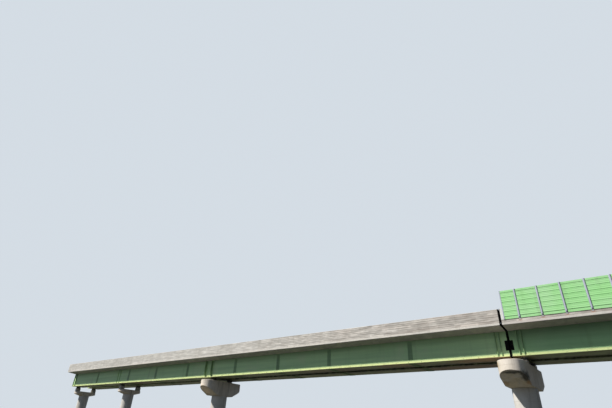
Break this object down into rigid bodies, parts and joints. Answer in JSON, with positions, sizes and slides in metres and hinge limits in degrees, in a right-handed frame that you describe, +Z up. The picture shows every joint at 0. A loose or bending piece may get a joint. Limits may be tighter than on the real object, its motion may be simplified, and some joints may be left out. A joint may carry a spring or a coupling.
{
  "type": "elevated light rail viaduct, 1:10 scale model",
  "caption": "Elevated light rail viaduct at 1:10: green steel box girders and concrete decks with parapets and a noise barrier on round hammerhead piers.",
  "frame": {"origin": "on the ground under the middle of the whole run, halfway across the deck", "axes": "+X along the viaduct to the right as the picture looks at it, +Y across it away from the viewer, +Z up"},
  "size_m": [13.62, 0.98, 1.582],
  "materials": {
    "pier_concrete": "cast concrete with water stains",
    "deck_concrete": "cast concrete, paler along the slab edge",
    "parapet_concrete": "cast concrete with faint streaks",
    "track_concrete": "brushed concrete",
    "girder_green": "weathered satin green paint",
    "bearing_rubber": "matt laminated rubber",
    "barrier_panel": "satin light green",
    "barrier_post": "satin light grey"
  },
  "bodies": {
    "piers": {"pier_1_column": "pier_concrete", "pier_1_crosshead": "pier_concrete", "bearing_1_left_near": "bearing_rubber", "bearing_1_left_far": "bearing_rubber", "pier_2_column": "pier_concrete", "pier_2_crosshead": "pier_concrete", "bearing_2_left_near": "bearing_rubber", "bearing_2_left_far": "bearing_rubber", "pier_3_column": "pier_concrete", "pier_3_crosshead": "pier_concrete", "bearing_3_left_near": "bearing_rubber", "bearing_3_left_far": "bearing_rubber", "pier_4_column": "pier_concrete", "pier_4_crosshead": "pier_concrete", "bearing_4_left_near": "bearing_rubber", "bearing_4_left_far": "bearing_rubber", "bearing_4_right_near": "bearing_rubber", "bearing_4_right_far": "bearing_rubber", "pier_5_column": "pier_concrete", "pier_5_crosshead": "pier_concrete", "bearing_5_right_near": "bearing_rubber", "bearing_5_right_far": "bearing_rubber"},
    "left_unit": {"deck_left": "deck_concrete", "crossbeam_1_left": "girder_green", "crossbeam_2_left": "girder_green", "crossbeam_3_left": "girder_green", "crossbeam_4_left": "girder_green", "cable_trough_left": "track_concrete", "girder_left_near": "girder_green", "parapet_left_near": "parapet_concrete", "track_bed_left_near": "track_concrete", "girder_left_far": "girder_green", "parapet_left_far": "parapet_concrete", "track_bed_left_far": "track_concrete"},
    "right_unit": {"deck_right": "deck_concrete", "crossbeam_4_right": "girder_green", "crossbeam_5_right": "girder_green", "cable_trough_right": "track_concrete", "girder_right_near": "girder_green", "parapet_right_near": "parapet_concrete", "track_bed_right_near": "track_concrete", "barrier_posts_near": "barrier_post", "barrier_wall_near": "barrier_panel", "girder_right_far": "girder_green", "parapet_right_far": "parapet_concrete", "track_bed_right_far": "track_concrete", "barrier_posts_far": "barrier_post", "barrier_wall_far": "barrier_panel"}
  },
  "joints": [
    {"name": "left_unit_expansion", "type": "slide", "parent": "piers", "child": "left_unit", "axis": [1, 0, 0], "range_m": [-0.005, 0.005], "stiffness_N_per_m": 1560000},
    {"name": "right_unit_expansion", "type": "slide", "parent": "piers", "child": "right_unit", "axis": [1, 0, 0], "range_m": [-0.005, 0.005], "stiffness_N_per_m": 780000}
  ]
}
